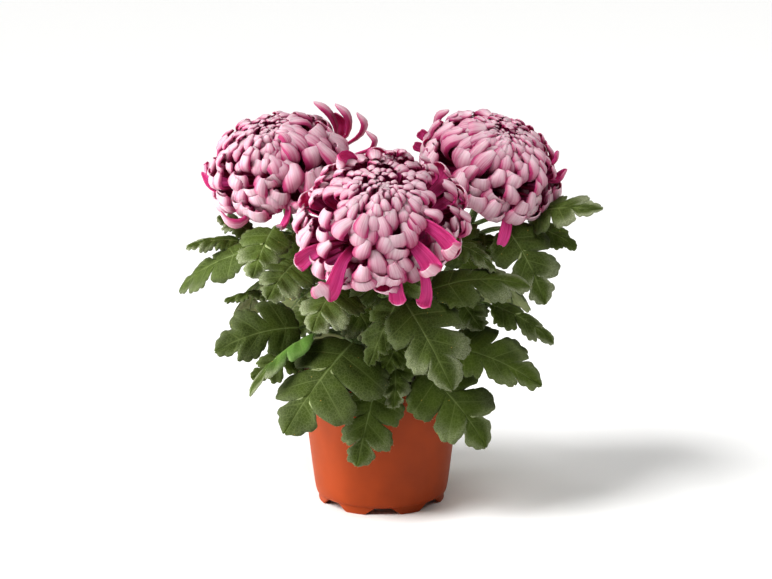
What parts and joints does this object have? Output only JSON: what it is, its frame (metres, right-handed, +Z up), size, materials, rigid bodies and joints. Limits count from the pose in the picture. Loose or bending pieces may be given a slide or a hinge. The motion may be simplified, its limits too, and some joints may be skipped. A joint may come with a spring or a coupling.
{
  "type": "pot chrysanthemum",
  "caption": "Flowering house plant: leafy stems carrying large incurved chrysanthemum blooms, rooted in peat in a round tapered pot that stands on a notched foot ring.",
  "frame": {"origin": "on the surface that the pot stands on, at the pot's axis, which is also the middle of the whole plant's box", "axes": "+Z up along the pot's axis, -Y to the front where the lowest bloom faces, +X to the right as seen from the front"},
  "size_m": [0.3255, 0.2432, 0.307],
  "materials": {
    "pot_plastic": "satin",
    "peat": "matte",
    "foliage": "satin",
    "petals": "satin"
  },
  "bodies": {
    "root": {"pot": "pot_plastic", "soil": "peat", "leafy_stem_front": "foliage", "leafy_stem_left": "foliage", "leafy_stem_right": "foliage", "bloom_front": "petals", "bloom_left": "petals", "bloom_right": "petals"}
  },
  "joints": []
}
